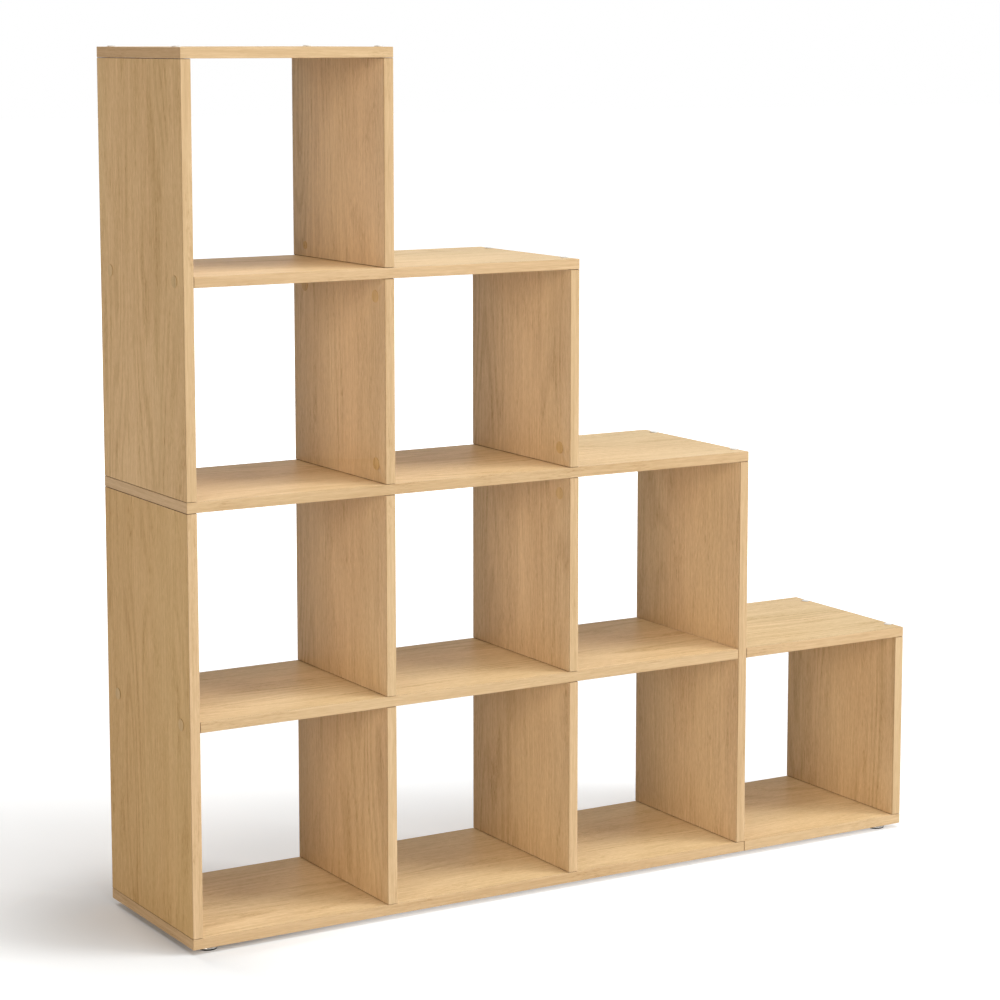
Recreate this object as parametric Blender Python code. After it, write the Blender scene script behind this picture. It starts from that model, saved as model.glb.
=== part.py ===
"""Stepped cube bookcase: eighteen light-oak melamine boards around ten open cells.

The columns are four, three, two and one cells high. Through screws with press-in
caps hold the ends of the steps, eccentric fittings and wooden pins hold the boards
that meet inside, and the whole case stands on four nailed glides.
X runs along the front, Y from the front to the rear, and the floor is Z = 0.
"""

import math

import bmesh
import bpy
from mathutils import Matrix, Vector

for leftover in list(bpy.data.objects):
    bpy.data.objects.remove(leftover)

# Boards
BOARD = 0.016
DEPTH = 0.300
CELL_WIDTH = 0.310
CELL_HEIGHT = 0.309
EDGE_ROUND = 0.0008
COLUMNS = 4

# Lines on which the boards are joined, from the front and the rear edges
FRONT_LINE = 0.031
REAR_LINE = 0.038
LINE_STEP = 0.032

# Space between pieces that touch, how far a cut runs out of a face, and how far
# a board's face gives under what stands or is screwed down on it
JOINT_GAP = 0.0003
BREAKOUT = 0.001
PRESSED = 0.00005

# Through screw with a key socket; its thread is left plain
SCREW_LENGTH = 0.050
SCREW_HEAD = 0.010
SCREW_RIM = 0.0008
SCREW_SHANK = 0.007
SCREW_CORE = 0.005
SCREW_TIP = 0.0014
SHANK_SHORT = 0.003
KEY_WIDTH = 0.004
KEY_DEPTH = 0.003
KEY_FLATS = 6

# Press-in cap over a screw on top of a board
CAP_WIDTH = 0.013
CAP_HEIGHT = 0.002
CAP_RIM = 0.0010
CAP_CROWN = 0.0022

# Adhesive disc over a screw in the tall side
COVER_WIDTH = 0.018
COVER_THICKNESS = 0.0006
COVER_EDGE = 0.0002

# Wooden pin, glued into the board that carries it
PIN_WIDTH = 0.008
PIN_SET = 0.012
PIN_CHAMFER = 0.001
PIN_SKIN = 0.004

# Eccentric drum in the left face of a divider
CAM_WIDTH = 0.0144
CAM_FROM_END = 0.028
CAM_BELOW_AXIS = 0.0045
CAM_WALL = 0.0019
CAM_THROW = 0.0004
CAM_TURN = math.radians(130)
CAM_OVERRUN = math.radians(3)
CROSS_REACH = 0.0035
CROSS_WIDTH = 0.0016
CROSS_DEPTH = 0.0025

# Bolt that the drum pulls
BOLT_SHAFT = 0.007
BOLT_NECK = 0.0036
BOLT_HEAD = 0.006
BOLT_HEAD_LENGTH = 0.0025
BOLT_CORE = 0.005
BOLT_BITE = 0.022

# Glide: a pressed cap with a nail, over a soft sole
FOOT_HEIGHT = 0.008
GLIDE_WIDTH = 0.030
GLIDE_FLAT = 0.016
GLIDE_RIM = 0.0011
GLIDE_WALL = 0.001
GLIDE_FROM_FRONT = 0.023
GLIDE_FROM_SIDE = 0.0335
SOLE_SHOW = 0.0025
SOLE_SEAT = 0.0017
SOLE_EDGE = 0.0007
NAIL_WIDTH = 0.0022
NAIL_LENGTH = 0.012

# Sides of the turned shapes; multiples of six keep the key sockets true
DISC_SIDES = 18
SCREW_SIDES = 12
PIN_SIDES = 8

LEFT = Vector((-1, 0, 0))
RIGHT = Vector((1, 0, 0))
UP = Vector((0, 0, 1))
DOWN = Vector((0, 0, -1))

WIDTH = COLUMNS * (CELL_WIDTH + BOARD) + BOARD
LINES = {"front": FRONT_LINE - DEPTH / 2, "rear": DEPTH / 2 - REAR_LINE}
INNER_LINES = {"front": LINES["front"] + LINE_STEP, "rear": LINES["rear"] - LINE_STEP}


def left_face(column):
    """Left face of the boards that stand in a column line, counted from the tall side."""
    return column * (CELL_WIDTH + BOARD) - WIDTH / 2


def right_face(column):
    return left_face(column) + BOARD


def centre_of(column):
    return left_face(column) + BOARD / 2


def underside(level):
    """Underside of the boards that lie at a level; level 0 is the bottom."""
    return FOOT_HEIGHT + level * (CELL_HEIGHT + BOARD)


def topside(level):
    return underside(level) + BOARD


# Objects and finishes


def finish(name, colour, roughness, metallic=0.0):
    material = bpy.data.materials.new(name)
    material.use_nodes = True
    shader = material.node_tree.nodes["Principled BSDF"]
    shader.inputs["Base Color"].default_value = (*colour, 1.0)
    shader.inputs["Roughness"].default_value = roughness
    shader.inputs["Metallic"].default_value = metallic
    return material


def facing(out, side=None):
    """Rotation that turns an object's own Z axis to out and, where it matters, its X to side."""
    if side is None:
        return UP.rotation_difference(out).to_euler()
    return Matrix((side, out.cross(side), out)).transposed().to_euler()


def piece(name, mesh, place, out=UP, side=None, material=None):
    """A named sub-part, held in the case by its parent empty."""
    obj = bpy.data.objects.new(name, mesh)
    obj.location = place
    obj.rotation_euler = facing(out, side)
    obj.parent = case
    if material:
        mesh.materials.append(material)
    bpy.context.collection.objects.link(obj)
    return obj


def helper(name, mesh, place, out=UP, parent=None):
    """A shape that only cuts or joins others, drawn as wire and left out of a render."""
    obj = piece(name, mesh, place, out)
    obj.parent = parent or case
    obj.hide_render = True
    obj.display_type = "WIRE"
    return obj


def combine(obj, tool, operation):
    """Adds a tool to the set of shapes that one Boolean cuts from an object or joins to it."""
    name = f"{obj.name} {operation.lower()}"
    if name not in obj.modifiers:
        boolean = obj.modifiers.new(name, "BOOLEAN")
        boolean.operation = operation
        boolean.operand_type = "COLLECTION"
        boolean.collection = bpy.data.collections.new(name)
    obj.modifiers[name].collection.objects.link(tool)


# Shapes


def ring(bm, radius, height, sides, flats=0):
    """A loop of points about Z: round, or a key's flats at the same distance from the axis."""
    points = []
    for index in range(sides):
        angle = 2 * math.pi * index / sides
        reach = radius
        if flats:
            half_flat = math.pi / flats
            reach = radius / math.cos(angle % (2 * half_flat) - half_flat)
        points.append(bm.verts.new((reach * math.cos(angle), reach * math.sin(angle), height)))
    return points


def turned(name, outline, sides):
    """Closed mesh through rings given as (radius, height) or (radius, height, flats)."""
    bm = bmesh.new()
    rings = [ring(bm, spot[0], spot[1], sides, *spot[2:]) for spot in outline]
    bm.faces.new(rings[0])
    bm.faces.new(rings[-1])
    for near, far in zip(rings, rings[1:]):
        for index in range(sides):
            after = (index + 1) % sides
            bm.faces.new((near[index], near[after], far[after], far[index]))
    return closed_mesh(name, bm)


def prism(name, corners, low, high):
    """A flat outline in X and Y, drawn out from height low to height high."""
    bm = bmesh.new()
    base = bm.faces.new([bm.verts.new((x, y, low)) for x, y in corners])
    drawn = bmesh.ops.extrude_face_region(bm, geom=[base])["geom"]
    top = [item for item in drawn if isinstance(item, bmesh.types.BMVert)]
    bmesh.ops.translate(bm, vec=(0, 0, high - low), verts=top)
    return closed_mesh(name, bm)


def closed_mesh(name, bm):
    bmesh.ops.recalc_face_normals(bm, faces=bm.faces)
    mesh = bpy.data.meshes.new(name)
    bm.to_mesh(mesh)
    bm.free()
    mesh.shade_smooth()
    mesh.set_sharp_from_angle(angle=math.radians(40))
    return mesh


def rounded(radius, height, flat, top, steps):
    """Quarter round from (radius, height) in to (flat, top), as (radius, height) spots."""
    spots = []
    for step in range(steps + 1):
        angle = math.pi / 2 * step / steps
        reach = flat + (radius - flat) * math.cos(angle)
        spots.append((reach, height + (top - height) * math.sin(angle)))
    return spots


# Boards


def board(name, left, right, low, high):
    """A board over the full depth, its corners rounded by the edge banding."""
    bm = bmesh.new()
    bmesh.ops.create_cube(bm, size=1)
    bmesh.ops.scale(bm, vec=(right - left, DEPTH, high - low), verts=bm.verts)
    mesh = bpy.data.meshes.new(name)
    bm.to_mesh(mesh)
    bm.free()
    middle = Vector(((left + right) / 2, 0, (low + high) / 2))
    obj = piece(name, mesh, middle, material=oak)
    banding = obj.modifiers.new("Edge banding", "BEVEL")
    banding.width = EDGE_ROUND
    banding.segments = 1
    banding.limit_method = "ANGLE"
    return obj


def lying(name, level, left, right):
    return board(name, left, right, underside(level), topside(level))


def standing(name, column, level_below, level_above):
    """A board on end, with a joint gap to the boards under and over it."""
    low = topside(level_below) + JOINT_GAP
    high = underside(level_above) - JOINT_GAP
    return board(name, left_face(column), right_face(column), low, high)


def press_track(wood, level, column):
    """The shallow track that a board on end presses into the one it stands on."""
    side = BOARD / 2 + JOINT_GAP
    end = DEPTH / 2 + BREAKOUT
    corners = [(-side, -end), (side, -end), (side, end), (-side, end)]
    name = f"{wood.name}_track_{column}"
    spot = (centre_of(column), 0, topside(level))
    tool = helper(name, prism(name, corners, -PRESSED, BREAKOUT), spot)
    combine(wood, tool, "DIFFERENCE")


# Drilled joints


def drill(name, outline, sides, place, out, boards):
    """One turned hole through every board that it passes."""
    tool = helper(name + "_hole", turned(name + "_hole", outline, sides), place, out)
    for wood in boards:
        combine(wood, tool, "DIFFERENCE")


def screw_stem(grow):
    """Head, shank and core of the through screw below a board's face, widened by grow."""
    head, shank, core = SCREW_HEAD / 2, SCREW_SHANK / 2, SCREW_CORE / 2
    rim_end = -JOINT_GAP - SCREW_RIM
    shank_end = SHANK_SHORT - BOARD
    return [
        (head + grow, rim_end),
        (shank + grow, rim_end - (head - shank)),
        (shank + grow, shank_end),
        (core + grow, shank_end - (shank - core)),
    ]


def through_screw(name, place, out, through, into, lid_width):
    """Screw from a board's face into the end of the next board, in its stepped hole.

    The lid over it, a cap or a disc, has pressed its outline into the face.
    """
    head_top = -JOINT_GAP
    core = SCREW_CORE / 2
    outline = [
        (KEY_WIDTH / 2, head_top - KEY_DEPTH, KEY_FLATS),
        (KEY_WIDTH / 2, head_top, KEY_FLATS),
        (SCREW_HEAD / 2, head_top),
        *screw_stem(0),
        (core, core - SCREW_LENGTH),
        (SCREW_TIP / 2, -SCREW_LENGTH),
    ]
    piece(name, turned(name, outline, SCREW_SIDES), place, out, material=steel)
    lid = lid_width / 2 + JOINT_GAP
    hole = [
        (lid, BREAKOUT, SCREW_SIDES),
        (lid, -PRESSED, SCREW_SIDES),
        (SCREW_HEAD / 2 + JOINT_GAP, -PRESSED),
        *screw_stem(JOINT_GAP),
        (core + JOINT_GAP, -SCREW_LENGTH - JOINT_GAP),
    ]
    drill(name, hole, SCREW_SIDES, place, out, (through, into))


def press_cap(name, place, out):
    """Domed cap whose six-sided stem sits in the screw's key socket."""
    stem = KEY_WIDTH / 2 - JOINT_GAP
    outline = [
        (stem, -KEY_DEPTH, KEY_FLATS),
        (stem, JOINT_GAP, KEY_FLATS),
        (CAP_WIDTH / 2, JOINT_GAP),
        *rounded(CAP_WIDTH / 2, CAP_RIM, CAP_WIDTH / 2 - CAP_CROWN, CAP_HEIGHT, 2),
    ]
    piece(name, turned(name, outline, DISC_SIDES), place, out, material=white_plastic)


def cover_disc(name, place, out):
    top = JOINT_GAP + COVER_THICKNESS
    outline = [
        (COVER_WIDTH / 2, JOINT_GAP),
        (COVER_WIDTH / 2, top - COVER_EDGE),
        (COVER_WIDTH / 2 - COVER_EDGE, top),
    ]
    piece(name, turned(name, outline, DISC_SIDES), place, out, material=oak_foil)


def pin(name, carrier, foot, way, reach, mates):
    """Wooden pin glued in the end of carrier at foot, standing out by reach into its mates."""
    radius = PIN_WIDTH / 2
    outline = [
        (radius, -PIN_SET),
        (radius, reach - PIN_CHAMFER),
        (radius - PIN_CHAMFER, reach),
    ]
    mesh = turned(name + "_pin", outline, PIN_SIDES)
    combine(carrier, helper(name + "_pin", mesh, foot, way), "UNION")
    hole = [(radius + JOINT_GAP, 0), (radius + JOINT_GAP, reach + JOINT_GAP)]
    drill(name, hole, PIN_SIDES, foot, way, mates)


def bolt(name, place, way, boards):
    """Bolt from the drum's axis out of the board's end, through the shelf and into the next end."""
    head, neck, shaft, core = BOLT_HEAD / 2, BOLT_NECK / 2, BOLT_SHAFT / 2, BOLT_CORE / 2
    head_end = pocket_edge() - JOINT_GAP
    head_start = head_end - BOLT_HEAD_LENGTH
    shaft_start = CAM_WIDTH / 2 + 2 * JOINT_GAP
    next_end = CAM_FROM_END + BOARD + 2 * JOINT_GAP
    shaft_end = next_end - SHANK_SHORT
    core_start = shaft_end + shaft - core
    tip = next_end + BOLT_BITE
    outline = [
        (neck, head_start),
        (head, head_start + head - neck),
        (head, head_end),
        (neck, head_end),
        (neck, shaft_start),
        (shaft, shaft_start),
        (shaft, shaft_end),
        (core, core_start),
        (core, tip - core),
        (SCREW_TIP / 2, tip),
    ]
    piece(name, turned(name, outline, SCREW_SIDES), place, way, material=steel)
    hole = [
        (shaft + JOINT_GAP, 0),
        (shaft + JOINT_GAP, shaft_end),
        (core + JOINT_GAP, core_start),
        (core + JOINT_GAP, tip + JOINT_GAP),
    ]
    drill(name, hole, SCREW_SIDES, place, way, boards)


def pocket_edge():
    """How far from the drum's axis its pocket reaches behind the edge of the bolt's head."""
    pocket = CAM_WIDTH / 2 - CAM_WALL
    return math.sqrt(pocket**2 - (BOLT_HEAD / 2) ** 2) - CAM_THROW


def cam(name, place, way, wood):
    """Drum with an off-centre pocket for the bolt's head, shown turned to its locked place."""
    radius = CAM_WIDTH / 2
    pocket = radius - CAM_WALL
    axis = -BOARD / 2
    bottom = axis - CAM_BELOW_AXIS
    hole = [(radius + JOINT_GAP, BREAKOUT), (radius + JOINT_GAP, bottom)]
    drill(name, hole, DISC_SIDES, place, LEFT, (wood,))
    outline = [(radius, -JOINT_GAP), (radius, bottom + JOINT_GAP)]
    drum = piece(name, turned(name, outline, DISC_SIDES), place, LEFT, way, zinc)

    head_room = BOLT_HEAD / 2 + JOINT_GAP
    neck_room = BOLT_NECK / 2 + JOINT_GAP
    pocket_shape = [(pocket, axis + head_room), (pocket, bottom)]
    entry_shape = [(head_room, 0), (head_room, CAM_WIDTH)]
    slot_end = math.asin(neck_room / (pocket - CAM_THROW)) + CAM_OVERRUN
    slot_shape = [(0, 0)]
    slot_steps = 8
    for step in range(slot_steps + 1):
        angle = slot_end - (slot_end + CAM_TURN) * step / slot_steps
        slot_shape.append((CAM_WIDTH * math.cos(angle), CAM_WIDTH * math.sin(angle)))
    entry_way = Vector((math.cos(CAM_TURN), -math.sin(CAM_TURN), 0))
    cuts = {
        "pocket": (turned("pocket", pocket_shape, DISC_SIDES), (-CAM_THROW, 0, 0), UP),
        "slot": (prism("slot", slot_shape, axis - neck_room, axis + neck_room), (0, 0, 0), UP),
        "entry": (turned("entry", entry_shape, SCREW_SIDES), (0, 0, axis), entry_way),
        "cross": (prism("cross", cross_outline(), -CROSS_DEPTH, BREAKOUT), (0, 0, 0), UP),
    }
    for cut_name, (mesh, spot, out) in cuts.items():
        tool = helper(f"{name}_{cut_name}", mesh, spot, out, parent=drum)
        combine(drum, tool, "DIFFERENCE")


def cross_outline():
    """Four equal arms for a crossed screwdriver."""
    half = CROSS_WIDTH / 2
    arm = [(CROSS_REACH, -half), (CROSS_REACH, half), (half, half)]
    quarter_turns = [(1, 0), (0, 1), (-1, 0), (0, -1)]
    return [(x * c - y * s, x * s + y * c) for c, s in quarter_turns for x, y in arm]


def glide(name, x, y, wood):
    """Pressed cap nailed under a bottom board, with its sole standing on the floor."""
    rim, inner = GLIDE_WIDTH / 2, GLIDE_WIDTH / 2 - GLIDE_WALL
    cap_top = FOOT_HEIGHT - JOINT_GAP
    ceiling = SOLE_SHOW + SOLE_SEAT
    nail = NAIL_WIDTH / 2
    nail_end = FOOT_HEIGHT + NAIL_LENGTH
    outline = [
        (inner, ceiling),
        (inner, SOLE_SHOW),
        (rim, SOLE_SHOW),
        *rounded(rim, SOLE_SHOW + GLIDE_RIM, GLIDE_FLAT / 2, cap_top, 3),
        (nail, cap_top),
        (nail, nail_end - NAIL_WIDTH),
        (nail / 4, nail_end),
    ]
    mesh = turned("glide_cap_" + name, outline, DISC_SIDES)
    piece("glide_cap_" + name, mesh, (x, y, 0), material=nickel)
    hole = [(nail + JOINT_GAP, -BREAKOUT), (nail + JOINT_GAP, NAIL_LENGTH + JOINT_GAP)]
    drill("glide_" + name, hole, PIN_SIDES, (x, y, FOOT_HEIGHT), UP, (wood,))

    sole = inner - JOINT_GAP
    outline = [(sole - SOLE_EDGE, 0), (sole, SOLE_EDGE), (sole, ceiling - JOINT_GAP)]
    mesh = turned("glide_sole_" + name, outline, DISC_SIDES)
    piece("glide_sole_" + name, mesh, (x, y, 0), material=black_rubber)


case = bpy.data.objects.new("bookcase", None)
bpy.context.collection.objects.link(case)

oak = finish("Light oak melamine", (0.66, 0.47, 0.28), 0.42)
oak_foil = finish("Oak-toned foil", (0.58, 0.40, 0.23), 0.5)
white_plastic = finish("White plastic", (0.80, 0.77, 0.73), 0.35)
black_rubber = finish("Black rubber", (0.02, 0.02, 0.02), 0.8)
steel = finish("Zinc-plated steel", (0.55, 0.55, 0.53), 0.35, 1.0)
zinc = finish("Die-cast zinc", (0.42, 0.42, 0.43), 0.5, 1.0)
nickel = finish("Nickel-plated steel", (0.75, 0.73, 0.70), 0.2, 1.0)

# Boards that lie, from the floor up
bottom_board = lying("bottom_board", 0, left_face(0), right_face(3))
bottom_board_short = lying("bottom_board_short", 0, right_face(3) + JOINT_GAP, right_face(4))
shelf_row_1 = lying("shelf_row_1", 1, right_face(0) + JOINT_GAP, left_face(3) - JOINT_GAP)
step_top_1 = lying("step_top_1", 1, right_face(3) + JOINT_GAP, right_face(4))
shelf_row_2 = lying("shelf_row_2", 2, left_face(0), right_face(3))
shelf_row_3 = lying("shelf_row_3", 3, right_face(0) + JOINT_GAP, right_face(2))
top_board = lying("top_board", 4, left_face(0), right_face(1))

# Boards that stand, from the tall side to the low side
side_lower = standing("side_lower", 0, 0, 2)
side_upper = standing("side_upper", 0, 2, 4)
divider_1 = [standing(f"divider_1_row_{row}", 1, row - 1, row) for row in (1, 2, 3, 4)]
divider_2 = [standing(f"divider_2_row_{row}", 2, row - 1, row) for row in (1, 2, 3)]
upright_3 = standing("upright_3", 3, 0, 2)
end_side = standing("end_side", 4, 0, 1)

# Screws with white caps: joint, level, column line, board on top and board that stands
CAPPED_JOINTS = (
    ("top_left", 4, 0, top_board, side_upper),
    ("top_right", 4, 1, top_board, divider_1[3]),
    ("step_3", 3, 2, shelf_row_3, divider_2[2]),
    ("step_2", 2, 3, shelf_row_2, upright_3),
    ("step_1", 1, 4, step_top_1, end_side),
)
for joint, level, column, over, under in CAPPED_JOINTS:
    for line, y in LINES.items():
        spot = (centre_of(column), y, topside(level))
        through_screw(f"cap_screw_{joint}_{line}", spot, UP, over, under, CAP_WIDTH)
        press_cap(f"white_cap_{joint}_{line}", spot, UP)

# Screws through the tall side, under discs of oak foil
for level, through, into in ((3, side_upper, shelf_row_3), (1, side_lower, shelf_row_1)):
    for line, y in LINES.items():
        spot = (left_face(0), y, underside(level) + BOARD / 2)
        name = f"side_screw_row_{level}_{line}"
        through_screw(name, spot, LEFT, through, into, COVER_WIDTH)
        cover_disc(f"side_cover_row_{level}_{line}", spot, LEFT)

# Long pins that key two standing boards through the shelf between them
THROUGH_REACH = 2 * JOINT_GAP + BOARD + PIN_SET
STACKS = (
    ("side", 2, 0, side_lower, shelf_row_2, side_upper, ("front", "rear")),
    ("divider_1_low", 1, 1, divider_1[0], shelf_row_1, divider_1[1], ("front", "rear")),
    ("divider_2_low", 1, 2, divider_2[0], shelf_row_1, divider_2[1], ("front", "rear")),
    ("divider_1_middle", 2, 1, divider_1[1], shelf_row_2, divider_1[2], ("rear",)),
    ("divider_2_middle", 2, 2, divider_2[1], shelf_row_2, divider_2[2], ("rear",)),
    ("divider_1_high", 3, 1, divider_1[2], shelf_row_3, divider_1[3], ("rear",)),
)
for stack, level, column, lower, shelf, upper, lines in STACKS:
    press_track(shelf, level, column)
    for line in lines:
        foot = (centre_of(column), LINES[line], underside(level) - JOINT_GAP)
        pin(f"{stack}_{line}", lower, foot, UP, THROUGH_REACH, (shelf, upper))

# Long pins from shelf to step through the standing board between them
for line, y in LINES.items():
    foot = (left_face(3) - JOINT_GAP, y, underside(1) + BOARD / 2)
    pin(f"step_1_{line}", shelf_row_1, foot, RIGHT, THROUGH_REACH, (upright_3, step_top_1))

# Short pins under the boards that stand on the bottom
BLIND_REACH = BOARD - PIN_SKIN
STANDS = (
    (0, side_lower, bottom_board),
    (1, divider_1[0], bottom_board),
    (2, divider_2[0], bottom_board),
    (3, upright_3, bottom_board),
    (4, end_side, bottom_board_short),
)
for column, stand, base in STANDS:
    press_track(base, 0, column)
    for line, y in LINES.items():
        foot = (centre_of(column), y, topside(0) + JOINT_GAP)
        pin(f"{stand.name}_{line}", stand, foot, DOWN, BLIND_REACH, (base,))

# Pins that key the two bottom boards end to end, clear of the ones above
for line, y in INNER_LINES.items():
    foot = (right_face(3) + JOINT_GAP, y, underside(0) + BOARD / 2)
    pin(f"bottom_{line}", bottom_board_short, foot, LEFT, JOINT_GAP + PIN_SET, (bottom_board,))

# Eccentric fittings in the left faces of the row 3 dividers, near their front edges
CAM_JOINTS = (
    ("divider_1_top", 3, 1, UP, divider_1[2], shelf_row_3, divider_1[3]),
    ("divider_1_bottom", 2, 1, DOWN, divider_1[2], shelf_row_2, divider_1[1]),
    ("divider_2_bottom", 2, 2, DOWN, divider_2[2], shelf_row_2, divider_2[1]),
)
for joint, level, column, way, holder, shelf, beyond in CAM_JOINTS:
    board_end = underside(level) - JOINT_GAP if way is UP else topside(level) + JOINT_GAP
    height = board_end - way.z * CAM_FROM_END
    y = LINES["front"]
    cam(f"cam_lock_{joint}", (left_face(column), y, height), way, holder)
    spot = (centre_of(column), y, height)
    bolt(f"cam_bolt_{joint}", spot, way, (holder, shelf, beyond))

# Glides at the four corners
for side, x, wood in (
    ("left", GLIDE_FROM_SIDE - WIDTH / 2, bottom_board),
    ("right", WIDTH / 2 - GLIDE_FROM_SIDE, bottom_board_short),
):
    glide(f"front_{side}", x, GLIDE_FROM_FRONT - DEPTH / 2, wood)
    glide(f"rear_{side}", x, DEPTH / 2 - GLIDE_FROM_FRONT, wood)
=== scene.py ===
"""Stepped cube bookcase in light-oak melamine board, finished and set in a plain white studio.

Metres, with X along the front from left to right, Y from the front to the rear and the floor at
Z = 0. Boards, caps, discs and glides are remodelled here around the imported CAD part, and the
screws, drums and bolts keep their CAD shapes.
"""

import math

import bmesh
import bpy
from mathutils import Matrix, Vector


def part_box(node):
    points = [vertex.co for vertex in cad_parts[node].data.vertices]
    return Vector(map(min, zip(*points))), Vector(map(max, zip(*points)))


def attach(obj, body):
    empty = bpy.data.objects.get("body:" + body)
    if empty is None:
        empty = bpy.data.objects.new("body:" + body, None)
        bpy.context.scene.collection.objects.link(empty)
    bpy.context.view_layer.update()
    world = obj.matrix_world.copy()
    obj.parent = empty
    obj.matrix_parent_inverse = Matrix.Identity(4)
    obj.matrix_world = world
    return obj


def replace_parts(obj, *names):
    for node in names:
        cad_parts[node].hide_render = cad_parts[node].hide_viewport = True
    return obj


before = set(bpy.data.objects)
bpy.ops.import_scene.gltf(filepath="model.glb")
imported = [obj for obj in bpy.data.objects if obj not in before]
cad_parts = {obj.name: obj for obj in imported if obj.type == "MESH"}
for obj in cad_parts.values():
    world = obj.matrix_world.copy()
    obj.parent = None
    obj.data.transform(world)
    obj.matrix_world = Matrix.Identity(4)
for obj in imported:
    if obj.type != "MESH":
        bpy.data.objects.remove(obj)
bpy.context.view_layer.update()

# Boards
# Each is 16 mm chipboard with a resin-sealed oak paper pressed on both faces, sawn square and
# drilled, with the grain along its length. Some boards' colour is changed to stand in for light:
# painted shade on the lower tall side, and paler colour inside the cells against the warm bounced
# light. The brown chipboard shows as a thin line at the joints and beside the edging; it is its own
# brown, kept dark so that it also paints shade into the joint grooves.
GRAIN_ALONG = {
    "bottom_board": "X",
    "bottom_board_short": "X",
    "shelf_row_1": "X",
    "step_top_1": "X",
    "shelf_row_2": "X",
    "shelf_row_3": "X",
    "top_board": "X",
    "side_lower": "Z",
    "side_upper": "Z",
    "divider_1_row_1": "Z",
    "divider_1_row_2": "Z",
    "divider_1_row_3": "Z",
    "divider_1_row_4": "Z",
    "divider_2_row_1": "Z",
    "divider_2_row_2": "Z",
    "divider_2_row_3": "Z",
    "upright_3": "Z",
    "end_side": "Z",
}
EDGED_ENDS = {
    "bottom_board": ("left",),
    "bottom_board_short": ("right",),
    "step_top_1": ("right",),
    "shelf_row_2": ("left", "right"),
    "shelf_row_3": ("right",),
    "top_board": ("left", "right"),
}
# How much deeper and brighter each board's colour is made, to stand in for light: the lower tall
# side is painted darker and deeper as painted shade towards the floor, and the boards seen inside
# the cells are painted paler, to take out the warm light that bounces between them. A board not
# named keeps its plain colour.
PAINTED_LIGHT_BY_BOARD = {
    "side_lower": (1.12, 0.94),
    "side_upper": (1.03, 1.0),
    "divider_1_row_1": (0.90, 1.0),
    "divider_1_row_2": (0.86, 1.0),
    "divider_1_row_3": (0.84, 1.0),
    "divider_1_row_4": (0.78, 1.01),
    "divider_2_row_1": (0.90, 1.0),
    "divider_2_row_2": (0.86, 1.0),
    "divider_2_row_3": (0.84, 1.0),
    "upright_3": (0.88, 1.0),
    "end_side": (0.90, 1.0),
}
NO_PAINTED_LIGHT = (1.0, 1.0)
OUTWARDS = {
    "left": Vector((-1, 0, 0)),
    "right": Vector((1, 0, 0)),
    "front": Vector((0, -1, 0)),
    "rear": Vector((0, 1, 0)),
    "under": Vector((0, 0, -1)),
    "top": Vector((0, 0, 1)),
}
GRAIN_TURN = {
    "X": (0.0, 0.0, 0.0),
    "Y": (0.0, 0.0, math.radians(-90)),
    "Z": (0.0, math.radians(90), 0.0),
}
EDGING = 0.001
CAD_CORNER = 0.0008
SAWN_CORNER = 0.0007
GLUED_CORNER = 0.0003
NEAR = 0.00001
SQUARE_ON = 0.99
ROLL_SHIFT = 2.4
ROLL_STEPS = (12.9, 78.2, 37.7)
RESIN_SHINE = 0.06
PAPER_GLOSS = 0.46
PORE_DULLNESS = 0.15
PRINT_RELIEF = 0.00006
SLOW_SWAY = 0.016
QUICK_SWAY = 0.003
FIELD_IN_RADIANS = 95.0
BETWEEN_RINGS = 0.35
# Marks per metre along the grain, across it and through the board.
SLOW_WAVES = (1.7, 7.0, 7.0)
QUICK_WAVES = (20.0, 24.0, 24.0)
RING_FIELD = (1.1, 10.0, 10.0)
FLAME_ZONES = (2.0, 9.0, 9.0)
PORE_ZONES = (6.0, 34.0, 34.0)
DASH_MARKS = (60.0, 620.0, 620.0)
PORE_MARKS = (130.0, 1300.0, 1300.0)
HUE_ZONES = (0.9, 8.0, 8.0)


def add_node(tree, kind, inputs=(), **settings):
    """A shader node with its settings and inputs; an input is a value or another node's output."""
    made = tree.nodes.new(kind)
    for name, value in settings.items():
        setattr(made, name, value)
    for name, value in dict(inputs).items():
        if isinstance(value, bpy.types.NodeSocket):
            tree.links.new(value, made.inputs[name])
        else:
            made.inputs[name].default_value = value
    return made


def reckon(tree, operation, *values):
    made = add_node(tree, "ShaderNodeMath", dict(enumerate(values)), operation=operation)
    return made.outputs[0]


def marks(tree, place, per_metre, detail=1.0, roughness=0.5):
    """Noise with so many marks in a metre along the grain, across it and through the board."""
    parts = {0: place, 1: per_metre}
    stretched = add_node(tree, "ShaderNodeVectorMath", parts, operation="MULTIPLY")
    noise = {
        "Vector": stretched.outputs[0],
        "Scale": 1.0,
        "Detail": detail,
        "Roughness": roughness,
    }
    return add_node(tree, "ShaderNodeTexNoise", noise).outputs[0]


def eased(tree, value, start, end, low=0.0, high=1.0):
    """Goes smoothly from low to high while the value goes from start to end."""
    span = {"Value": value, "From Min": start, "From Max": end, "To Min": low, "To Max": high}
    made = add_node(tree, "ShaderNodeMapRange", span, interpolation_type="SMOOTHSTEP")
    return made.outputs[0]


def blended(tree, amount, first, second):
    """From the first colour to the second; either is three numbers or another node's output."""
    ends = [end if isinstance(end, bpy.types.NodeSocket) else (*end, 1.0) for end in (first, second)]
    colours = {0: amount, 6: ends[0], 7: ends[1]}
    return add_node(tree, "ShaderNodeMix", colours, data_type="RGBA").outputs[2]


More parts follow.
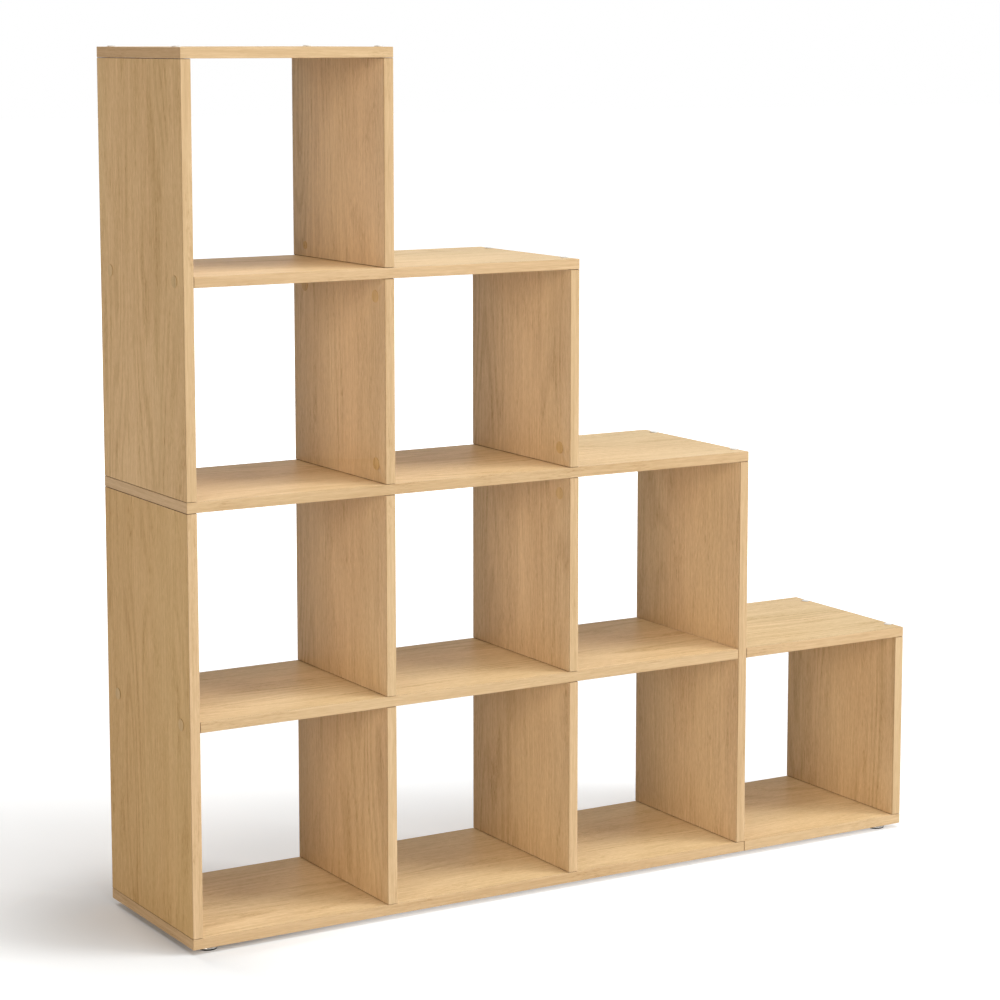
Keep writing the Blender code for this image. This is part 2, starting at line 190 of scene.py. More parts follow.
def oak_print(name, dark, russet, golden, tones, figure, dashes, pores):
    """Oak pattern as a node group. The tones are (marks per metre, detail, strength), and the last
    three say how dark the growth rings, the short dashes and the fine pores are."""
    tree = bpy.data.node_groups.new(name, "ShaderNodeTree")
    tree.interface.new_socket(name="Place", in_out="INPUT", socket_type="NodeSocketVector")
    tree.interface.new_socket(name="Colour", in_out="OUTPUT", socket_type="NodeSocketColor")
    tree.interface.new_socket(name="Pores", in_out="OUTPUT", socket_type="NodeSocketFloat")
    tree.interface.new_socket(name="Height", in_out="OUTPUT", socket_type="NodeSocketFloat")
    laid = tree.nodes.new("NodeGroupInput").outputs["Place"]

    slow = marks(tree, laid, SLOW_WAVES)
    slow_sway = reckon(tree, "MULTIPLY_ADD", slow, SLOW_SWAY, -SLOW_SWAY / 2)
    quick = marks(tree, laid, QUICK_WAVES)
    sway = reckon(tree, "MULTIPLY_ADD", quick, QUICK_SWAY, slow_sway)
    aside = add_node(tree, "ShaderNodeCombineXYZ", {"Y": sway, "Z": sway}).outputs[0]
    grain = add_node(tree, "ShaderNodeVectorMath", {0: laid, 1: aside}).outputs[0]

    tone = 0.5
    for per_metre, detail, strength in tones:
        band = marks(tree, grain, per_metre, detail, roughness=0.6)
        change = reckon(tree, "MULTIPLY_ADD", band, strength, -strength / 2)
        tone = reckon(tree, "ADD", change, tone)

    field = reckon(tree, "MULTIPLY", marks(tree, grain, RING_FIELD), FIELD_IN_RADIANS)
    ring = eased(tree, reckon(tree, "SINE", field), -0.2, 1.0)
    flame_zone = eased(tree, marks(tree, grain, FLAME_ZONES), 0.45, 0.62)
    flame = reckon(tree, "MULTIPLY", ring, flame_zone)
    tone = reckon(tree, "MULTIPLY_ADD", flame, -figure, tone)

    zone = eased(tree, marks(tree, grain, PORE_ZONES, detail=2.0), 0.42, 0.64)
    on_ring = reckon(tree, "MULTIPLY_ADD", ring, 1 - BETWEEN_RINGS, BETWEEN_RINGS)
    zone = reckon(tree, "MULTIPLY", zone, on_ring)
    dash = eased(tree, marks(tree, grain, DASH_MARKS), 0.52, 0.68)
    dash = reckon(tree, "MULTIPLY", dash, zone)
    tone = reckon(tree, "MULTIPLY_ADD", dash, -dashes, tone)
    pore = eased(tree, marks(tree, grain, PORE_MARKS), 0.54, 0.68)
    pore = reckon(tree, "MULTIPLY", pore, zone)
    tone = reckon(tree, "MULTIPLY_ADD", pore, -pores, tone)

    hue = eased(tree, marks(tree, grain, HUE_ZONES), 0.36, 0.64)
    results = {
        "Colour": blended(tree, tone, dark, blended(tree, hue, russet, golden)),
        "Pores": pore,
        "Height": reckon(tree, "SUBTRACT", tone, pore),
    }
    add_node(tree, "NodeGroupOutput", results)
    return tree


def oak_finish(name, pattern, grain, cut, gloss=PAPER_GLOSS, depth=1.0, bright=1.0):
    """A print laid with its grain along an axis; cut says which part of the roll it came from, and
    depth and bright how much deeper and brighter its colour is made, which some boards use to stand
    in for light, as painted shade and as paler colour against bounced light."""
    material = bpy.data.materials.new(name)
    material.use_nodes = True
    tree = material.node_tree
    shader = tree.nodes["Principled BSDF"]
    shifts = [ROLL_SHIFT * math.sin(cut * step) for step in ROLL_STEPS]
    laying = {
        "Vector": add_node(tree, "ShaderNodeTexCoord").outputs["Object"],
        "Location": shifts,
        "Rotation": GRAIN_TURN[grain],
    }
    laid = add_node(tree, "ShaderNodeMapping", laying).outputs[0]
    printed = tree.nodes.new("ShaderNodeGroup")
    printed.node_tree = pattern
    tree.links.new(laid, printed.inputs["Place"])
    relief = {"Height": printed.outputs["Height"], "Strength": 0.5, "Distance": PRINT_RELIEF}
    satin = eased(tree, printed.outputs["Pores"], 0.0, 1.0, gloss, gloss + PORE_DULLNESS)
    run = {"Color": printed.outputs["Colour"], "Saturation": depth, "Value": bright}
    colour = add_node(tree, "ShaderNodeHueSaturation", run).outputs[0]
    shader.inputs["Specular IOR Level"].default_value = RESIN_SHINE
    tree.links.new(colour, shader.inputs["Base Color"])
    tree.links.new(satin, shader.inputs["Roughness"])
    tree.links.new(add_node(tree, "ShaderNodeBump", relief).outputs[0], shader.inputs["Normal"])
    return material


def clouded_finish(
    name, dark, light, smooth, rough, cloud, grit, relief, metallic=0.0, shine=0.5
):
    """Colour that drifts in clouds, from dark to light, and roughness and relief that vary with a
    finer grit; cloud and grit are marks per metre and relief is in metres."""
    material = bpy.data.materials.new(name)
    material.use_nodes = True
    tree = material.node_tree
    shader = tree.nodes["Principled BSDF"]
    place = add_node(tree, "ShaderNodeTexCoord").outputs["Object"]
    drift = eased(tree, marks(tree, place, cloud, 3.0), 0.3, 0.7)
    fine = marks(tree, place, grit, 2.0)
    bump = {"Height": fine, "Strength": 0.4, "Distance": relief}
    shader.inputs["Metallic"].default_value = metallic
    shader.inputs["Specular IOR Level"].default_value = shine
    tree.links.new(blended(tree, drift, dark, light), shader.inputs["Base Color"])
    tree.links.new(eased(tree, fine, 0.3, 0.7, smooth, rough), shader.inputs["Roughness"])
    tree.links.new(add_node(tree, "ShaderNodeBump", bump).outputs[0], shader.inputs["Normal"])
    return material


def sawn_size(name):
    """Lowest and highest corner of a board, without the pins that stand out of its ends."""
    low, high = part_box(name)
    axis = "XYZ".index(GRAIN_ALONG[name])
    corners = [corner.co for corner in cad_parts[name].data.vertices]
    along = [corner[axis] for corner in corners if corner.y < low.y + NEAR]
    low[axis] = min(along) - CAD_CORNER
    high[axis] = max(along) + CAD_CORNER
    return low, high


def draw_in(vert, low, high, edged):
    """Moves a corner of a board in by the edging that it carries, and sharpens its corner."""
    for side, out in OUTWARDS.items():
        depth = max(low.dot(out), high.dot(out)) - vert.co.dot(out)
        if -NEAR < depth < CAD_CORNER + NEAR:
            inset = EDGING if side in edged else 0.0
            corner = GLUED_CORNER if side in edged else SAWN_CORNER
            vert.co += out * (depth - inset - depth * corner / CAD_CORNER)


def add_piece(name, mesh, slot, *finishes, sharp_from=30):
    """An object of the bookcase, smooth where its faces meet at less than an angle."""
    obj = bpy.data.objects.new(name, mesh)
    bpy.context.scene.collection.objects.link(obj)
    for finish in finishes:
        mesh.materials.append(finish)
    mesh.shade_smooth()
    mesh.set_sharp_from_angle(angle=math.radians(sharp_from))
    flats = obj.modifiers.new("Flat faces stay flat", "WEIGHTED_NORMAL")
    flats.keep_sharp = True
    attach(obj, "root")
    return obj


def mesh_from(name, bm):
    mesh = bpy.data.meshes.new(name)
    bm.to_mesh(mesh)
    bm.free()
    return mesh


face_print = oak_print(
    "oak print on the faces",
    dark=(0.35, 0.19, 0.055),
    russet=(0.96, 0.725, 0.44),
    golden=(0.94, 0.73, 0.44),
    tones=(
        ((0.8, 6.0, 6.0), 2.0, 0.34),
        ((3.0, 30.0, 30.0), 2.0, 0.14),
        ((7.0, 440.0, 440.0), 2.0, 0.46),
        ((60.0, 400.0, 400.0), 2.0, 0.20),
        ((90.0, 1000.0, 1000.0), 2.0, 0.54),
    ),
    figure=0.10,
    dashes=0.20,
    pores=0.16,
)
# Brown of the sawn board, kept dark so that the sawn ends and the small corner chamfers read as dark
# lines: partly the board's own colour, partly painted shade in the joint grooves.
chipboard = clouded_finish(
    "sawn chipboard with painted groove shade",
    dark=(0.12, 0.055, 0.02),
    light=(0.27, 0.15, 0.065),
    smooth=0.75,
    rough=0.95,
    cloud=(260.0, 420.0, 420.0),
    grit=(900.0, 1500.0, 1500.0),
    relief=0.0002,
)
for number, (name, grain) in enumerate(GRAIN_ALONG.items(), start=1):
    low, high = sawn_size(name)
    bm = bmesh.new()
    bm.from_mesh(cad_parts[name].data)
    bmesh.ops.remove_doubles(bm, verts=bm.verts, dist=NEAR / 10)
    for vert in bm.verts:
        draw_in(vert, low, high, ("front", "rear", *EDGED_ENDS.get(name, ())))
    bm.normal_update()
    papered = OUTWARDS["top"] if grain == "X" else OUTWARDS["right"]
    # Faces off the two papered sides, the sawn ends and the small corner chamfers among them, take
    # the dark chipboard finish, which also paints shade into the joint grooves.
    for face in bm.faces:
        face.material_index = 0 if abs(face.normal.dot(papered)) > SQUARE_ON else 1
    mesh = mesh_from(name + "_panel", bm)
    # A board's colour may be made deeper, darker or paler here, standing in for light: painted shade
    # on the lower tall side, paler colour on the boards inside the cells.
    depth, bright = PAINTED_LIGHT_BY_BOARD.get(name, NO_PAINTED_LIGHT)
    paper_name = f"oak paper of {name}"
    finish = oak_finish(paper_name, face_print, grain, number, depth=depth, bright=bright)
    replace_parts(add_piece(name + "_panel", mesh, "oak_melamine", finish, chipboard), name)

# Edging
# A 1 mm plastic strip with the same oak print is glued to every edge that shows, trimmed flush
# with the faces and rounded over. The front and rear strips run over the ends of the side ones,
# and stop a hair short where a board butts against the next.
EDGING_RADIUS = 0.0008
ROUNDING_STEPS = 4
JOINT_GAP = 0.0006
FRONT_STRIP_CUT = 0.4
END_STRIP_CUT = 0.7
ORDER_ALONG = Vector((1.0, 7.3, 53.1))


def side_of(face):
    return max(OUTWARDS, key=lambda side: face.normal.dot(OUTWARDS[side]))


def add_strip(bm, low, high, outer, finish):
    """A strip from corner to corner, rounded along each edge between two of its outer sides."""
    before = set(bm.faces)
    middle, half = (low + high) / 2, (high - low) / 2
    bmesh.ops.create_cube(bm, size=2, matrix=Matrix.Translation(middle) @ Matrix.Diagonal((*half, 1)))
    faces = set(bm.faces) - before
    bm.normal_update()
    for face in faces:
        face.material_index = finish
    edges = {edge for face in faces for edge in face.edges}
    rounded = [edge for edge in edges if all(side_of(face) in outer for face in edge.link_faces)]
    bmesh.ops.bevel(
        bm,
        geom=rounded,
        offset=EDGING_RADIUS,
        segments=ROUNDING_STEPS,
        profile=0.5,
        affect="EDGES",
    )


def put_in_order(bm):
    """Sorts corners and faces by place, because they don't come in the same order in every run."""
    bm.verts.sort(key=lambda vert: vert.co.dot(ORDER_ALONG))
    bm.faces.sort(key=lambda face: face.calc_center_median().dot(ORDER_ALONG))


edging_print = oak_print(
    "oak print on the edging",
    dark=(0.31, 0.165, 0.05),
    russet=(0.86, 0.645, 0.41),
    golden=(0.85, 0.65, 0.41),
    tones=(
        ((0.9, 9.0, 9.0), 2.0, 0.30),
        ((5.0, 260.0, 260.0), 3.0, 0.40),
        ((40.0, 900.0, 900.0), 2.0, 0.35),
    ),
    figure=0.0,
    dashes=0.12,
    pores=0.15,
)
for number, (name, grain) in enumerate(GRAIN_ALONG.items(), start=1):
    low, high = sawn_size(name)
    ends = EDGED_ENDS.get(name, ())
    faces = ("under", "top") if grain == "X" else ("left", "right")
    axis = "XYZ".index(grain)
    low[axis] += 0.0 if "left" in ends else JOINT_GAP
    high[axis] -= 0.0 if "right" in ends else JOINT_GAP
    bm = bmesh.new()
    front_back = Vector((high.x, low.y + EDGING, high.z))
    rear_front = Vector((low.x, high.y - EDGING, low.z))
    add_strip(bm, low, front_back, {"front", *faces, *ends}, 0)
    add_strip(bm, rear_front, high, {"rear", *faces, *ends}, 0)
    for end in ends:
        near = Vector((low.x if end == "left" else high.x - EDGING, low.y + EDGING, low.z))
        far = Vector((near.x + EDGING, high.y - EDGING, high.z))
        add_strip(bm, near, far, {end, *faces}, 1)
    put_in_order(bm)
    mesh = mesh_from(name + "_edging", bm)
    cut = number + FRONT_STRIP_CUT
    finishes = [oak_finish(f"oak edging of {name}", edging_print, grain, cut)]
    if ends:
        cut = number + END_STRIP_CUT
        finishes.append(oak_finish(f"oak end edging of {name}", edging_print, "Y", cut))
    add_piece(name + "_edging", mesh, "oak_melamine", *finishes, sharp_from=40)

# Glides
# Four pressed steel caps, nickel-plated, are nailed under the two ends of the bottom. Each holds
# a black rubber sole, which stands on the floor and shows as a dark foot under the bright cap.
ROUND_SIDES = 64
GLIDE_LIP = 0.0003
GLIDE_WALL = 0.001
GLIDE_FLAT = 0.008
GLIDE_RIM = 0.0011
NAIL_RADIUS = 0.0011
NAIL_LENGTH = 0.012
NAIL_POINT = 2 * NAIL_RADIUS
NAIL_TIP = NAIL_RADIUS / 4
SOLE_CORNER = 0.0007


def bend(centre, reach, rise, start, end, steps=6):
    """Points on part of an ellipse, each as (distance from the axis, height)."""
    angles = [math.radians(start + (end - start) * step / steps) for step in range(steps + 1)]
    return [(centre[0] + reach * math.cos(a), centre[1] + rise * math.sin(a)) for a in angles]


def add_turned(bm, profile, sides, place, out=OUTWARDS["top"]):
    """A closed shape turned about its axis; the profile starts and ends on that axis."""
    lay = Matrix.Translation(place) @ OUTWARDS["top"].rotation_difference(out).to_matrix().to_4x4()
    turns = [2 * math.pi * index / sides for index in range(sides)]
    first, last = (bm.verts.new(lay @ Vector((0, 0, profile[i][1]))) for i in (0, -1))
    rings = [
        [bm.verts.new(lay @ Vector((r * math.cos(a), r * math.sin(a), h))) for a in turns]
        for r, h in profile[1:-1]
    ]
    for index in range(sides):
        after = (index + 1) % sides
        bm.faces.new((first, rings[0][after], rings[0][index]))
        bm.faces.new((last, rings[-1][index], rings[-1][after]))
        for near, far in zip(rings, rings[1:]):
            bm.faces.new((near[index], near[after], far[after], far[index]))


def finished_mesh(name, bm):
    bmesh.ops.recalc_face_normals(bm, faces=bm.faces)
    return mesh_from(name, bm)


def named(start):
    """Names of the CAD nodes that start like this, in order."""
    return sorted(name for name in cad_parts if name.startswith(start))


def middle_of(low, high):
    return Vector(((low.x + high.x) / 2, (low.y + high.y) / 2, 0))


def glide_cap_profile(low, high):
    """A rim turned down round the sole, a domed top and the nail."""
    radius = (high.x - low.x) / 2
    cap_top = high.z - NAIL_LENGTH
    dome = cap_top - low.z - GLIDE_RIM
    return [
        (0.0, low.z + GLIDE_WALL),
        (radius - GLIDE_WALL, low.z + GLIDE_WALL),
        *bend((radius - GLIDE_LIP, low.z + GLIDE_LIP), GLIDE_LIP, GLIDE_LIP, 270, 360, 3),
        *bend((GLIDE_FLAT, low.z + GLIDE_RIM), radius - GLIDE_FLAT, dome, 0, 90),
        (NAIL_RADIUS, cap_top),
        (NAIL_RADIUS, high.z - NAIL_POINT),
        (NAIL_TIP, high.z),
        (0.0, high.z),
    ]


def glide_sole_profile(low, high):
    """A flat disc with a rounded lower edge."""
    radius = (high.x - low.x) / 2
    return [
        (0.0, low.z),
        *bend((radius - SOLE_CORNER, low.z + SOLE_CORNER), SOLE_CORNER, SOLE_CORNER, 270, 360),
        (radius, high.z),
        (0.0, high.z),
    ]


nickel = clouded_finish(
    "nickel plate",
    dark=(0.36, 0.35, 0.33),
    light=(0.62, 0.60, 0.57),
    smooth=0.16,
    rough=0.30,
    cloud=(180.0, 180.0, 180.0),
    grit=(900.0, 900.0, 4000.0),
    relief=0.00001,
    metallic=1.0,
)
rubber = clouded_finish(
    "black rubber",
    dark=(0.012, 0.012, 0.013),
    light=(0.035, 0.034, 0.033),
    smooth=0.6,
    rough=0.85,
    cloud=(250.0, 250.0, 250.0),
    grit=(3000.0, 3000.0, 3000.0),
    relief=0.00004,
    shine=0.2,
)
GLIDES = {
    "glide_cap_": (glide_cap_profile, nickel, "nickel"),
    "glide_sole_": (glide_sole_profile, rubber, "black_sole"),
}
for start, (profile, finish, slot) in GLIDES.items():
    for name in named(start):
        low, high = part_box(name)
        bm = bmesh.new()
        add_turned(bm, profile(low, high), ROUND_SIDES, middle_of(low, high))
        mesh = finished_mesh(name + "_round", bm)
        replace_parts(add_piece(name + "_round", mesh, slot, finish), name)

# Eccentric drums and bolts
# A bolt reaches through the drilled shelf from one divider into the next, and a die-cast zinc drum
# in the divider's left face turns on its head and draws the joint tight. The bolt is zinc-plated.
cast_zinc = clouded_finish(
    "die-cast zinc",
    dark=(0.28, 0.28, 0.29),
    light=(0.46, 0.46, 0.47),
    smooth=0.42,
    rough=0.62,
    cloud=(300.0, 300.0, 300.0),
    grit=(2500.0, 2500.0, 2500.0),
    relief=0.00004,
    metallic=1.0,
)
zinc_plate = clouded_finish(
    "zinc plate",
    dark=(0.44, 0.46, 0.48),
    light=(0.64, 0.63, 0.60),
    smooth=0.24,
    rough=0.42,
    cloud=(220.0, 220.0, 220.0),
    grit=(1500.0, 1500.0, 6000.0),
    relief=0.00002,
    metallic=1.0,
)
for name in named("cam_lock_"):
    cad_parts[name].material_slots[0].material = cast_zinc
for name in named("cam_bolt_"):
    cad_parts[name].material_slots[0].material = zinc_plate

# Covers over the eccentric drums
# Thin oak-toned plastic lids are pressed over the drums' bores in the dividers' left faces. One
# near the rear of the top row is a smaller lid with a slot, for prising it out.
LID_RADIUS = 0.0096
LID_HEIGHT = 0.0007
LID_ROUND = 0.0005
LID_FROM_END = 0.028
SMALL_LID_RADIUS = 0.0065
SMALL_LID_FROM_REAR = 0.041
SMALL_LID_FROM_END = 0.0175
SLOT_LENGTH = 0.0094
SLOT_WIDTH = 0.0016
SLOT_DEPTH = 0.00055
SLOT_TAPER = SLOT_DEPTH / 8
SLOT_ALONG = Vector((0, -1, 1)).normalized()
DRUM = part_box("cam_lock_divider_1_top")
FRONT_LINE = (DRUM[0].y + DRUM[1].y) / 2
REAR_LINE = 0.112
FOIL_GLOSS = 0.36
LID_CUT = 30
SMALL_LID_CUT = 36
LIDS = {
    "divider_1_row_3_top_front": ("divider_1_row_3", "top", FRONT_LINE),
    "divider_1_row_3_top_rear": ("divider_1_row_3", "top", REAR_LINE),
    "divider_1_row_3_bottom_front": ("divider_1_row_3", "bottom", FRONT_LINE),
    "divider_2_row_3_bottom_front": ("divider_2_row_3", "bottom", FRONT_LINE),
    "divider_2_row_2_top_front": ("divider_2_row_2", "top", FRONT_LINE),
}


def lid_profile(radius, height, rounding):
    """Flat lid with a rounded rim, lying on the board's face."""
    return [
        (0.0, 0.0),
        (radius, 0.0),
        *bend((radius - rounding, height - rounding), rounding, rounding, 0, 90, 4),
        (0.0, height),
    ]


foil_print = oak_print(
    "oak print on the foil",
    dark=(0.29, 0.155, 0.04),
    russet=(0.88, 0.65, 0.36),
    golden=(0.86, 0.66, 0.37),
    tones=(
        ((9.0, 60.0, 60.0), 2.0, 0.35),
        ((14.0, 420.0, 420.0), 3.0, 0.55),
    ),
    figure=0.0,
    dashes=0.25,
    pores=0.25,
)
for number, (name, (board, end, line)) in enumerate(LIDS.items(), start=LID_CUT):
    low, high = sawn_size(board)
    height = high.z - LID_FROM_END if end == "top" else low.z + LID_FROM_END
    bm = bmesh.new()
    profile = lid_profile(LID_RADIUS, LID_HEIGHT, LID_ROUND)
    add_turned(bm, profile, ROUND_SIDES, (low.x, line, height), OUTWARDS["left"])
    mesh = finished_mesh("lid_" + name, bm)
    finish = oak_finish(f"oak plastic of lid_{name}", foil_print, "Z", number, FOIL_GLOSS)
    add_piece("lid_" + name, mesh, "oak_foil", finish)


def sink_slot(bm, middle, out):
    """Sinks a slot into the flat side of a lid; middle is a point on that side."""
    reaches = ((SLOT_ALONG, SLOT_LENGTH / 2), (out.cross(SLOT_ALONG), SLOT_WIDTH / 2))
    for along, reach in reaches:
        for way in (-reach, reach):
            flat = [face for face in bm.faces if face.normal.dot(out) > SQUARE_ON]
            parts = {part for face in flat for part in (face, *face.edges, *face.verts)}
            edge = middle + along * way
            bmesh.ops.bisect_plane(bm, geom=list(parts), plane_co=edge, plane_no=along)
            bm.normal_update()
    slot = [
        face
        for face in bm.faces
        if face.normal.dot(out) > SQUARE_ON
        and all(abs((face.calc_center_median() - middle).dot(d)) < r for d, r in reaches)
    ]
    bmesh.ops.inset_region(bm, faces=slot, thickness=SLOT_TAPER, depth=-SLOT_DEPTH)


low, high = sawn_size("divider_1_row_4")
face = Vector((low.x, high.y - SMALL_LID_FROM_REAR, low.z + SMALL_LID_FROM_END))
bm = bmesh.new()
profile = lid_profile(SMALL_LID_RADIUS, LID_HEIGHT, LID_ROUND)
add_turned(bm, profile, ROUND_SIDES, face, OUTWARDS["left"])
bm.normal_update()
sink_slot(bm, face + LID_HEIGHT * OUTWARDS["left"], OUTWARDS["left"])
mesh = finished_mesh("lid_divider_1_row_4_bottom_rear", bm)
finish = oak_finish("oak plastic of " + mesh.name, foil_print, "Z", SMALL_LID_CUT, FOIL_GLOSS)
add_piece(mesh.name, mesh, "oak_foil", finish)

# Screws
# Zinc-plated steel screws with a six-sided socket pull the tops and the tall side tight. Each
# runs through a stepped hole in one board into the end of the next.
for name in named(("cap_screw_", "side_screw_")):
    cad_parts[name].material_slots[0].material = zinc_plate

# White caps
# A moulded white cap closes each screw on top of the steps. It has a rounded shoulder and a low
# crown, and its six-sided stem is pressed into the screw's socket.
CAP_SHOULDER = 0.0022
CAP_RIM = 0.0010
CAP_FOOT = 0.0002
CAP_ABOVE_BOARD = 0.002
CAP_GAP = 0.00005
CAP_DOME = 0.00012
STEM_RADIUS = 0.0017
STEM_TAPER = 0.0004
STEM_SIDES = 6


def cap_profile(low, high):
    """A foot with a small chamfer, a rounded shoulder and a low crown."""
    radius = (high.x - low.x) / 2
    foot = high.z - CAP_ABOVE_BOARD + CAP_GAP
    rim = high.z - CAP_ABOVE_BOARD + CAP_RIM
    crown_edge = radius - CAP_SHOULDER
    shoulder_top = high.z - CAP_DOME
    return [
        (0.0, foot),
        (radius - CAP_FOOT, foot),
        (radius, foot + CAP_FOOT),
        *bend((crown_edge, rim), CAP_SHOULDER, shoulder_top - rim, 0, 84),
        *bend((0.0, shoulder_top), crown_edge, CAP_DOME, 20, 80, 4),
        (0.0, high.z),
    ]


def stem_profile(low, high):
    """A straight stem with a tapered tip, up to the cap's foot."""
    foot = high.z - CAP_ABOVE_BOARD + CAP_GAP
    return [
        (0.0, low.z),
        (STEM_RADIUS - STEM_TAPER, low.z),
        (STEM_RADIUS, low.z + 2 * STEM_TAPER),
        (STEM_RADIUS, foot + CAP_FOOT),
        (0.0, foot + CAP_FOOT),
    ]


white_plastic = clouded_finish(
    "white plastic",
    dark=(0.71, 0.695, 0.675),
    light=(0.77, 0.755, 0.735),
    smooth=0.40,
    rough=0.55,
    cloud=(160.0, 160.0, 160.0),
    grit=(4000.0, 4000.0, 4000.0),
    relief=0.00002,
    shine=0.08,
)
for name in named("white_cap_"):
    low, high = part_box(name)
    bm = bmesh.new()
    add_turned(bm, cap_profile(low, high), ROUND_SIDES, middle_of(low, high))
    add_turned(bm, stem_profile(low, high), STEM_SIDES, middle_of(low, high))
    mesh = finished_mesh(name + "_domed", bm)
    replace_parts(add_piece(name + "_domed", mesh, "white_plastic", white_plastic), name)

# Discs over the side screws
# Self-adhesive discs of oak foil hide the screw heads in the tall side. Each was stuck on by hand,
# so its grain stands a little out of line with the board's.
DISC_ROUND = 0.00025
DISC_TILTS = (4.0, -7.0, -3.0, 6.0)
DISC_CUT = 40
for number, (name, tilt) in enumerate(zip(named("side_cover_"), DISC_TILTS), start=DISC_CUT):
    low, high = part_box(name)
    middle = (high.x, (low.y + high.y) / 2, (low.z + high.z) / 2)
    bm = bmesh.new()
    profile = lid_profile((high.z - low.z) / 2, high.x - low.x, DISC_ROUND)
    add_turned(bm, profile, ROUND_SIDES, middle, OUTWARDS["left"])
    mesh = finished_mesh(name + "_disc", bm)
    finish = oak_finish(f"oak foil of {name}", foil_print, "Z", number, FOIL_GLOSS)
    turning = finish.node_tree.nodes["Mapping"].inputs["Rotation"]
    turning.default_value[0] = math.radians(tilt)
    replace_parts(add_piece(name + "_disc", mesh, "oak_foil", finish), name)

# Floor and backdrop
# White paper lies under the bookcase and reaches far behind it, and the room beyond is white. The
# camera sees the paper lightened, so that it is white where no shadow falls; the lightening is least
# at the tall side's foot and grows over 0.4 m, which paints a shadow there on top of the rendered
# one.
FLOOR_REACH = 40.0
NEAR_FLOOR = 1.2
FAR_FLOOR = 3.5
TALL_SIDE_FOOT = (-0.66, 0.0, 0.0)
NEAR_FOOT = 0.05
FAR_FOOT = 0.40
PAINTED_SHADOW_LIFT = 0.08
LIFT_AROUND = 0.42
LIFT_FAR_OFF = 0.58
PAPER_COLOUR = (0.70, 0.69, 0.68, 1.0)


def seen_directly(tree):
    """1 for what the camera sees, also in metal and through clear pieces, and 0 for lighting."""
    path = add_node(tree, "ShaderNodeLightPath").outputs
    seen = reckon(tree, "MAXIMUM", path["Is Camera Ray"], path["Is Glossy Ray"])
    return reckon(tree, "MAXIMUM", seen, path["Is Transmission Ray"])


paper = bpy.data.materials.new("white studio paper")
paper.use_nodes = True
tree = paper.node_tree
tree.nodes.remove(tree.nodes["Principled BSDF"])
output = tree.nodes["Material Output"]
shaded = add_node(tree, "ShaderNodeBsdfDiffuse", {"Color": PAPER_COLOUR})
place = add_node(tree, "ShaderNodeTexCoord").outputs["Object"]
away = add_node(tree, "ShaderNodeVectorMath", {0: place}, operation="LENGTH").outputs["Value"]
from_foot = {0: place, 1: TALL_SIDE_FOOT}
beside = add_node(tree, "ShaderNodeVectorMath", from_foot, operation="DISTANCE").outputs["Value"]
# Painted shadow: the lift is smallest at the tall side's foot, so the floor there is painted darker.
lift_with_painted_foot_shadow = eased(tree, beside, NEAR_FOOT, FAR_FOOT, PAINTED_SHADOW_LIFT, LIFT_AROUND)
far_off = eased(tree, away, NEAR_FLOOR, FAR_FLOOR, 0.0, LIFT_FAR_OFF)
brighter = reckon(tree, "ADD", lift_with_painted_foot_shadow, far_off)
lift = add_node(tree, "ShaderNodeEmission", {"Color": (1.0, 1.0, 1.0, 1.0), "Strength": brighter})
lifted = add_node(tree, "ShaderNodeAddShader", {0: shaded.outputs[0], 1: lift.outputs[0]})
mixed = {0: seen_directly(tree), 1: shaded.outputs[0], 2: lifted.outputs[0]}
tree.links.new(add_node(tree, "ShaderNodeMixShader", mixed).outputs[0], output.inputs["Surface"])

corners = [(x * FLOOR_REACH, y * FLOOR_REACH, 0) for x, y in ((-1, -1), (1, -1), (1, 1), (-1, 1))]
floor_mesh = bpy.data.meshes.new("floor")
floor_mesh.from_pydata(corners, [], [(0, 1, 2, 3)])
floor_mesh.materials.append(paper)
floor = bpy.data.objects.new("floor", floor_mesh)
bpy.context.scene.collection.objects.link(floor)

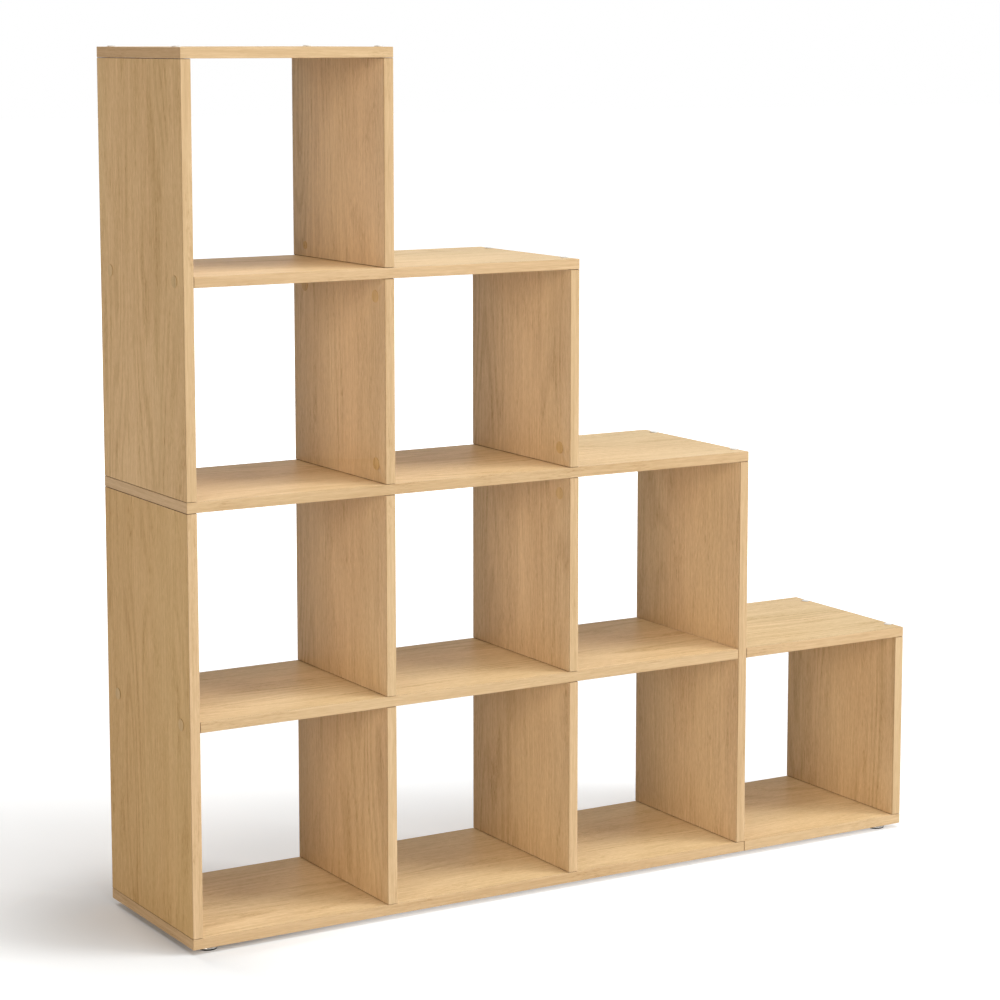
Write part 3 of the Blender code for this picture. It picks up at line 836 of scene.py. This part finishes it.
# Light
# Four large soft lamps stand far away, so that the light is even: low on the left and on the right,
# one overhead and one behind. The right one is the strongest and throws a soft shadow to the left,
# and it stays out of reflections, where it would flare on the tops.
AIM = Vector((0.0, 0.0, 0.6))
LAMP_WIDTH = 5.4
ROOM_LIGHT = 0.04
LAMPS = {
    "left lamp": ((-9.5, -7.0, 2.8), 560.0, (1.0, 0.83, 0.65)),
    "right lamp": ((8.1, -6.3, 3.5), 1140.0, (0.96, 0.99, 1.0)),
    "overhead lamp": ((1.0, -3.0, 10.5), 680.0, (0.88, 0.95, 1.0)),
    "rear lamp": ((-1.0, 9.0, 7.0), 540.0, (1.0, 1.0, 1.0)),
}
for name, (place, power, colour) in LAMPS.items():
    lamp = bpy.data.lights.new(name, "AREA")
    lamp.shape = "DISK"
    lamp.size = LAMP_WIDTH
    lamp.energy = power
    lamp.color = colour
    stand = bpy.data.objects.new(name, lamp)
    bpy.context.scene.collection.objects.link(stand)
    stand.location = place
    stand.rotation_euler = (AIM - Vector(place)).to_track_quat("-Z", "Y").to_euler()
    stand.visible_glossy = name != "right lamp"

world = bpy.data.worlds.new("white room")
bpy.context.scene.world = world
world.use_nodes = True
tree = world.node_tree
tree.nodes.clear()
room_light = {"Color": (1.0, 0.98, 0.96, 1.0), "Strength": ROOM_LIGHT}
room = add_node(tree, "ShaderNodeBackground", room_light)
white = add_node(tree, "ShaderNodeBackground", {"Color": (1.0, 1.0, 1.0, 1.0), "Strength": 1.0})
mixed = {0: seen_directly(tree), 1: room.outputs[0], 2: white.outputs[0]}
around = add_node(tree, "ShaderNodeMixShader", mixed)
add_node(tree, "ShaderNodeOutputWorld", {"Surface": around.outputs[0]})
bpy.context.scene.view_settings.view_transform = "Standard"

# Camera
# It stands in front on the left at about the height of the top board and looks slightly down. A
# small shift spares it some of that tilt, so that the uprights stay nearly parallel.
CAMERA_PLACE = (-2.3196, -3.795, 1.3373)
CAMERA_DOWN = math.radians(7.661)
CAMERA_YAW = math.radians(30.931)
CAMERA_SENSOR = 36.0
CAMERA_LENS = 101.03
CAMERA_SHIFT = -0.085
camera = bpy.data.objects.new("camera", bpy.data.cameras.new("camera"))
bpy.context.scene.collection.objects.link(camera)
camera.location = CAMERA_PLACE
camera.rotation_euler = (math.pi / 2 - CAMERA_DOWN, 0.0, -CAMERA_YAW)
camera.data.sensor_width = CAMERA_SENSOR
camera.data.lens = CAMERA_LENS
camera.data.shift_y = CAMERA_SHIFT
bpy.context.scene.camera = camera
